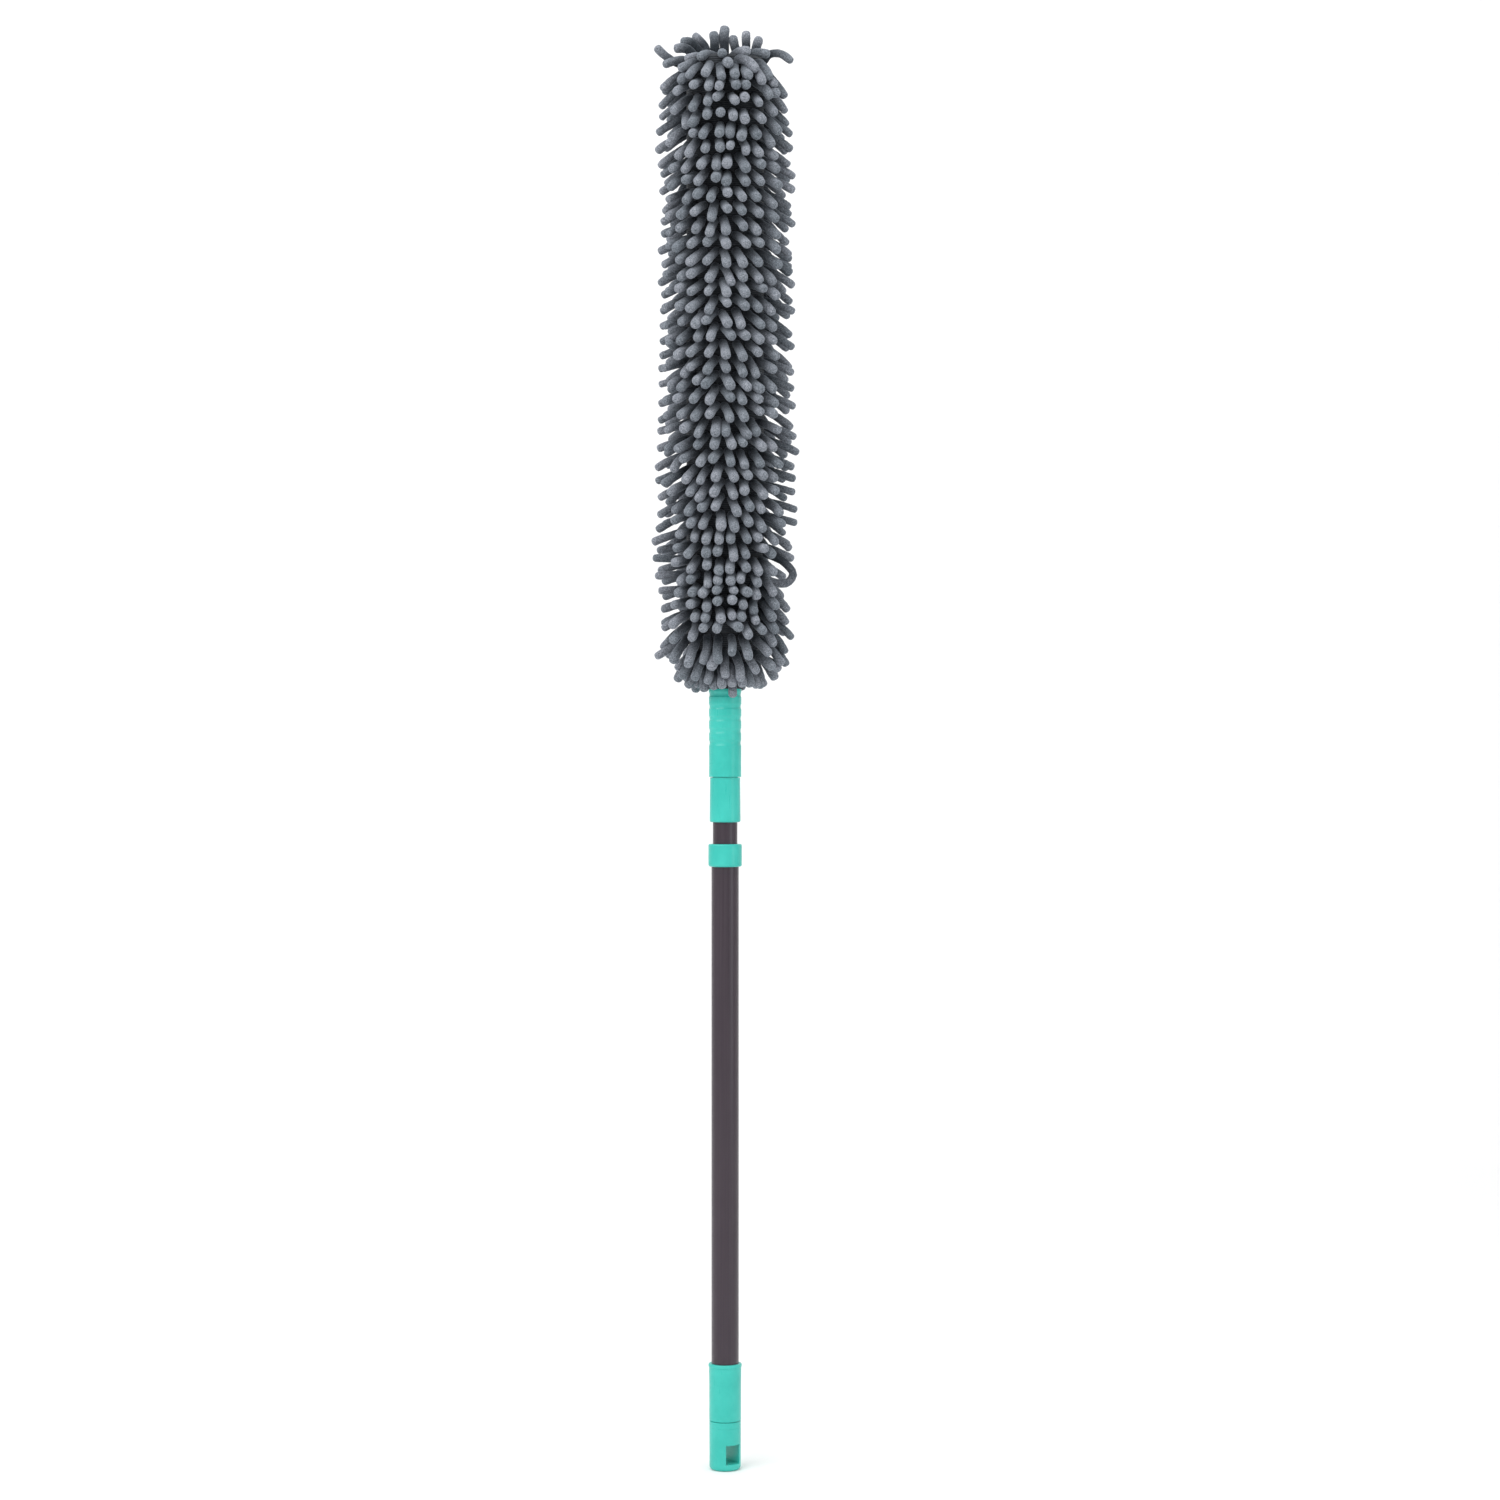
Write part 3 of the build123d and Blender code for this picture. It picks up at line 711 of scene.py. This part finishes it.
def make_tufts(material):
    """All the tufts, in one piece for each length of the cover."""
    lines = np.concatenate([curl(lay_wall_tufts()), lay_foot_tufts(),
                            lay_top_tufts(), lay_crown_tufts()])
    radii = TUFT_R * random.normal(1, UNEVEN_RADIUS, len(lines))
    at_side, thinner = 44 * MM, 0.86           # the tufts that reach furthest to each side
    radii *= np.where(abs(lines[:, -1, 0]) > at_side, thinner, 1)
    lines = settle(lines, radii)
    lines = np.concatenate([lines, [LOOP_ROOT + np.array(LOOP) * MM]])
    radii = np.append(radii, LOOP_R)
    seeds, tints = random.random(len(lines)), random.random(len(lines))
    standing = np.clip((lines[:, -1, 2] - lines[:, 0, 2]) / TUFT_LENGTH, 0, 1)
    owner = length_of(lines[:, 0, 2])
    for k in range(LENGTHS + 1):
        mine = owner == k
        points, quads, triangles, along, each = tuft_meshes(lines[mine], radii[mine], seeds[mine])
        piece = make_object(f"chenille_tufts_{k + 1}", points, quads, material, triangles)
        # painted shade: a tuft that stands up is darkened over more of its length from the root
        add_attribute(piece, "along", along ** np.repeat(1 + 2 * standing[mine], each))
        add_attribute(piece, "tint", np.repeat(tints[mine], each))
        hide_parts(f"cover_{min(k + 1, LENGTHS)}")
        join_to_frame(piece, k)


# ---- the cover's knitted backing ----------------------------------------------------------
WALL = 1.6 * MM
AROUND, RINGS = 96, 15                        # points round the backing, and rings up each wall
TOP_EDGE, TOP_RISE = 5 * MM, 2.2 * MM         # the top's rounded edge, inwards and up
TOP_EDGE_RINGS = 5
TOP_DROP = 4 * MM                             # from the wall's top edge outside to that inside
CUFF_ROOM = 0.3 * MM                          # between the foot's inner edge and the cuff


def backing_sections(k):
    """Half sizes and heights of one length's rings: up its outside, and down its inside."""
    low = max(HEAD_LOW, HEAD_LOW + (k - 0.5) * LENGTH)
    high = min(HEAD_TOP, HEAD_LOW + (k + 0.5) * LENGTH)
    sections = [(backing_half(z), z) for z in np.linspace(low, high, RINGS)]
    top, foot = high, low
    if k == LENGTHS:                           # the closed top, in to its middle and back out
        for angle in np.linspace(0, math.pi / 2, TOP_EDGE_RINGS + 1)[1:]:
            sections.append((BACKING - TOP_EDGE * (1 - math.cos(angle)),
                             high + TOP_RISE * math.sin(angle)))
        for share, above in ((0.4, 2.4), (0.02, 2.5), (0.02, 0.7), (0.4, 0.6)):
            sections.append((BACKING * share, high + above * MM))
        sections.append((BACKING - WALL - TOP_EDGE, high + 0.4 * MM))
        top = high - TOP_DROP
    if k == 0:
        foot = low + WALL
    sections += [(backing_half(z) - WALL, z) for z in np.linspace(top, foot, RINGS)]
    if k == 0:                                 # the foot, in to the cuff
        sections += [(np.full(2, CUFF_R + CUFF_ROOM), z) for z in (foot, low)]
    return sections


def make_backing(material):
    """The knitted tube under the tufts, in the same lengths. Its top is closed, and its foot turns
    in to the cuff."""
    shares = np.arange(AROUND) / AROUND
    for k in range(LENGTHS + 1):
        sections = backing_sections(k)
        points = np.concatenate([np.column_stack([oval_points(half, shares), np.full(AROUND, z)])
                                 for half, z in sections])
        count = len(sections)
        ring, side = np.meshgrid(np.arange(count), np.arange(AROUND), indexing="ij")
        after_ring, after = (ring + 1) % count, (side + 1) % AROUND
        quads = np.stack([ring * AROUND + side, ring * AROUND + after,
                          after_ring * AROUND + after, after_ring * AROUND + side], -1)
        piece = make_object(f"cover_backing_{k + 1}", points, quads.reshape(-1, 4), material)
        join_to_frame(piece, k)


# ---- stage --------------------------------------------------------------------------------
BACKDROP_BACK = 2.6
MIDDLE = (0, 0, (cad_box[0].z + cad_box[1].z) / 2)
BACKDROP_FOOT = (0, BACKDROP_BACK, 0.6)
# each light: its name, place, what it points at, width and height, watts and colour
LIGHTS = [
    ("key", (-1.75, -1.85, 2.6), MIDDLE, (3.0, 1.2), 50, (1, 1, 1)),
    ("fill", (2.2, -1.3, 0.9), MIDDLE, (0.7, 2.2), 8, (0.86, 1.0, 0.98)),
    ("overhead", (0, -0.7, 2.5), MIDDLE, (1.4, 0.7), 10, (1, 1, 1)),
    ("backdrop_wash", (0, 1.0, 2.6), BACKDROP_FOOT, (3.0, 0.6), 9, (1, 1, 1)),
]
WORLD_STRENGTH = 0.75


def make_camera():
    """Level with the object's middle and a little to its right, as the photograph is."""
    data = bpy.data.cameras.new("camera")
    data.lens, data.sensor_width = 75.8, 36
    camera = bpy.data.objects.new("camera", data)
    camera.location = (0.020, -2.54, 0.578)
    camera.rotation_euler = (math.radians(90), 0, 0)
    bpy.context.scene.collection.objects.link(camera)
    bpy.context.scene.camera = camera


def make_backdrop(material):
    """A pale floor that curves up into a pale wall."""
    half_width, front, back, curve, top = 6.0, -5.0, BACKDROP_BACK, 1.0, 5.0
    profile = [(front, 0), (back - curve, 0)]
    for angle in np.linspace(0, math.pi / 2, 13)[1:]:
        profile.append((back - curve + curve * math.sin(angle), curve - curve * math.cos(angle)))
    profile.append((back, top))
    points = np.array([(x, y, z) for y, z in profile for x in (-half_width, half_width)])
    k = np.arange(len(profile) - 1) * 2
    quads = np.stack([k, k + 1, k + 3, k + 2], -1)
    make_object("backdrop", points, quads, material)


def make_lights():
    """Soft studio light from four panels and a white room."""
    for name, place, target, size, power, colour in LIGHTS:
        data = bpy.data.lights.new(name, "AREA")
        data.color = colour
        data.shape, data.size, data.size_y, data.energy = "RECTANGLE", *size, power
        light = bpy.data.objects.new(name, data)
        light.location = place
        way = Vector(target) - Vector(place)
        light.rotation_euler = way.to_track_quat("-Z", "Y").to_euler()
        bpy.context.scene.collection.objects.link(light)
    world = bpy.data.worlds.new("studio")
    bpy.context.scene.world = world
    world.use_nodes = True
    background = world.node_tree.nodes["Background"]
    background.inputs["Color"].default_value = (1, 1, 1, 1)
    background.inputs["Strength"].default_value = WORLD_STRENGTH
    bpy.context.scene.view_settings.view_transform = "Standard"


# ---- build --------------------------------------------------------------------------------
make_camera()
make_lights()
make_backdrop(make_floor_paint())

finishes = {
    "turquoise_plastic": make_turquoise(),
    "pole_lacquer": make_pole_lacquer(),
    "nylon": make_nylon(),
    "steel": make_steel(),
    "foam": make_foam(),
    "chenille": make_chenille(),
    "knit_band": make_ribbed_band(),
}
for part in frame["record"]["subparts"]:
    node = frame["nodes"][part["node"]]
    node.data.materials.clear()
    node.data.materials.append(finishes[part["material_slot"]])

make_tufts(finishes["chenille"])
make_backing(make_backing_knit())
